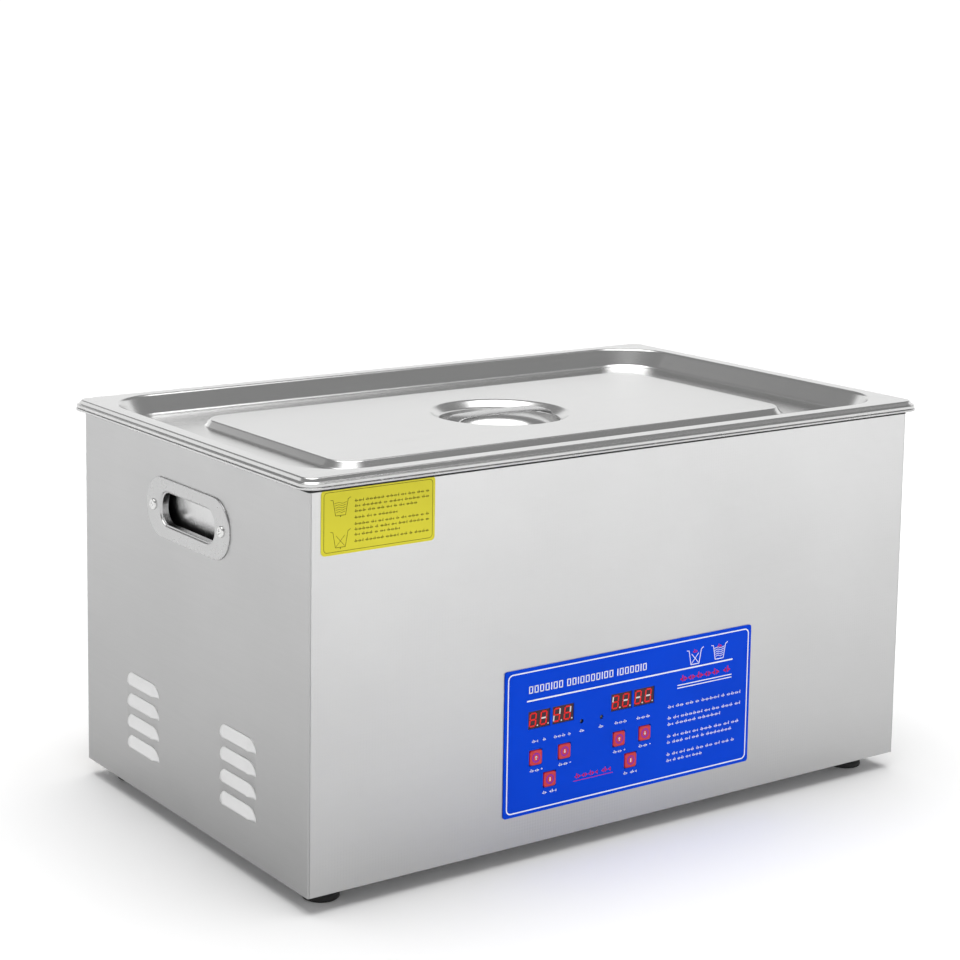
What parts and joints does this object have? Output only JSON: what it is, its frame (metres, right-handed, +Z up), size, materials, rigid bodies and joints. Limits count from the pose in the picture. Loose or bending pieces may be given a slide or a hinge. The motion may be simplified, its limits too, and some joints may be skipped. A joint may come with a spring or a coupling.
{
  "type": "ultrasonic cleaner",
  "caption": "Bench-top ultrasonic cleaner: stainless casing and tank with lift-off lid, basket, keypad front, side grips, rear fan, switch, inlet and drain valve.",
  "frame": {"origin": "bottom centre of the bounding box, on the surface the feet stand on", "axes": "+X to the right seen from the front, -Y out of the front with its controls, +Z up"},
  "size_m": [0.53, 0.375, 0.28],
  "materials": {
    "casing_steel": "satin-brushed stainless sheet; the front has a very fine diagonal dimple",
    "tank_steel": "deep-drawn stainless, satin inside with a bright rim",
    "lid_steel": "pressed stainless, soft satin with bright edges",
    "bright_steel": "polished stainless",
    "plain_steel": "plain steel",
    "basket_wire": "stainless wire and mesh",
    "black_rubber": "matt black rubber",
    "overlay_film": "saturated blue polyester film with white print",
    "label_film": "yellow film with a thin dark border",
    "key_plastic": "red key caps",
    "display_plastic": "dark red display lens with red segments",
    "led_plastic": "small dark lamps",
    "board_laminate": "green circuit board",
    "brass": "plain brass",
    "aluminium": "machined aluminium",
    "black_plastic": "black moulded plastic",
    "ferrite": "dark ferrite core with wound coil",
    "capacitor_sleeve": "dark blue sleeve",
    "grey_cable": "grey flat cable",
    "red_wire": "red insulated wire",
    "piezo_ceramic": "silvered ceramic rings",
    "silicone": "orange-red silicone heater mat",
    "ptfe": "white seat rings",
    "rocker_plastic": "red rocker",
    "lever_sleeve": "red coated steel lever"
  },
  "bodies": {
    "housing": {"front_panel": "casing_steel", "left_panel": "casing_steel", "right_panel": "casing_steel", "rear_panel": "casing_steel", "base_plate": "plain_steel", "casing_screws": "plain_steel", "foot_front_left": "black_rubber", "foot_front_right": "black_rubber", "foot_rear_left": "black_rubber", "foot_rear_right": "black_rubber", "foot_screws": "plain_steel", "tank": "tank_steel", "rim_gasket": "black_rubber", "handle_plate_left": "bright_steel", "handle_plate_right": "bright_steel", "handle_screws": "bright_steel", "control_overlay": "overlay_film", "care_label": "label_film", "control_board": "board_laminate", "control_standoffs": "brass", "tact_switches": "black_plastic", "display_temperature": "display_plastic", "display_time": "display_plastic", "indicator_leds": "led_plastic", "generator_board": "board_laminate", "generator_standoffs": "brass", "heat_sink": "aluminium", "power_transistors": "black_plastic", "output_transformer": "ferrite", "filter_capacitors": "capacitor_sleeve", "ribbon_cable": "grey_cable", "transducer_heads": "aluminium", "piezo_rings": "piezo_ceramic", "transducer_masses": "plain_steel", "transducer_wires": "red_wire", "heater_pads": "silicone", "temperature_sensor": "plain_steel", "fan_frame": "black_plastic", "fan_guard": "bright_steel", "mains_inlet": "black_plastic", "power_switch_housing": "black_plastic", "fuse_holder": "black_plastic", "drain_strainer": "tank_steel", "drain_pipe": "bright_steel", "valve_body": "bright_steel", "valve_seats": "ptfe"},
    "lid": {"lid": "lid_steel", "lid_handle": "bright_steel"},
    "basket": {"basket_tray": "basket_wire", "basket_frame": "basket_wire"},
    "key_temp_up": {"key_temp_up": "key_plastic"},
    "key_temp_down": {"key_temp_down": "key_plastic"},
    "key_heat_power": {"key_heat_power": "key_plastic"},
    "key_time_up": {"key_time_up": "key_plastic"},
    "key_time_down": {"key_time_down": "key_plastic"},
    "key_timer_power": {"key_timer_power": "key_plastic"},
    "power_switch_rocker": {"power_switch_rocker": "rocker_plastic"},
    "fan_rotor": {"fan_rotor": "black_plastic"},
    "drain_valve_lever": {"valve_ball": "bright_steel", "valve_lever": "lever_sleeve"}
  },
  "joints": [
    {"name": "lid_lift", "type": "slide", "parent": "housing", "child": "lid", "axis": [0, 0, 1], "range_m": [0, 0.3]},
    {"name": "basket_lift", "type": "slide", "parent": "housing", "child": "basket", "axis": [0, 0, 1], "range_m": [0, 0.15]},
    {"name": "temp_up_press", "type": "slide", "parent": "housing", "child": "key_temp_up", "axis": [0, 1, 0], "range_m": [0, 0.0004], "stiffness_N_per_m": 600, "springref_m": -0.0005},
    {"name": "temp_down_press", "type": "slide", "parent": "housing", "child": "key_temp_down", "axis": [0, 1, 0], "range_m": [0, 0.0004], "stiffness_N_per_m": 600, "springref_m": -0.0005},
    {"name": "heat_power_press", "type": "slide", "parent": "housing", "child": "key_heat_power", "axis": [0, 1, 0], "range_m": [0, 0.0004], "stiffness_N_per_m": 600, "springref_m": -0.0005},
    {"name": "time_up_press", "type": "slide", "parent": "housing", "child": "key_time_up", "axis": [0, 1, 0], "range_m": [0, 0.0004], "stiffness_N_per_m": 600, "springref_m": -0.0005},
    {"name": "time_down_press", "type": "slide", "parent": "housing", "child": "key_time_down", "axis": [0, 1, 0], "range_m": [0, 0.0004], "stiffness_N_per_m": 600, "springref_m": -0.0005},
    {"name": "timer_power_press", "type": "slide", "parent": "housing", "child": "key_timer_power", "axis": [0, 1, 0], "range_m": [0, 0.0004], "stiffness_N_per_m": 600, "springref_m": -0.0005},
    {"name": "power_switch_rock", "type": "hinge", "parent": "housing", "child": "power_switch_rocker", "pos_m": [0, 0.128, 0.062], "axis": [-1, 0, 0], "range_deg": [0, 20]},
    {"name": "fan_spin", "type": "hinge", "parent": "housing", "child": "fan_rotor", "pos_m": [0.15, 0.115, 0.074], "axis": [0, 1, 0], "continuous": true},
    {"name": "drain_valve_turn", "type": "hinge", "parent": "housing", "child": "drain_valve_lever", "pos_m": [-0.2, 0.1555, 0.088], "axis": [0, 0, 1], "range_deg": [0, 90]}
  ],
  "couplings": [
    {"joint": "basket_lift", "follows": "lid_lift", "ratio": 0.5}
  ]
}
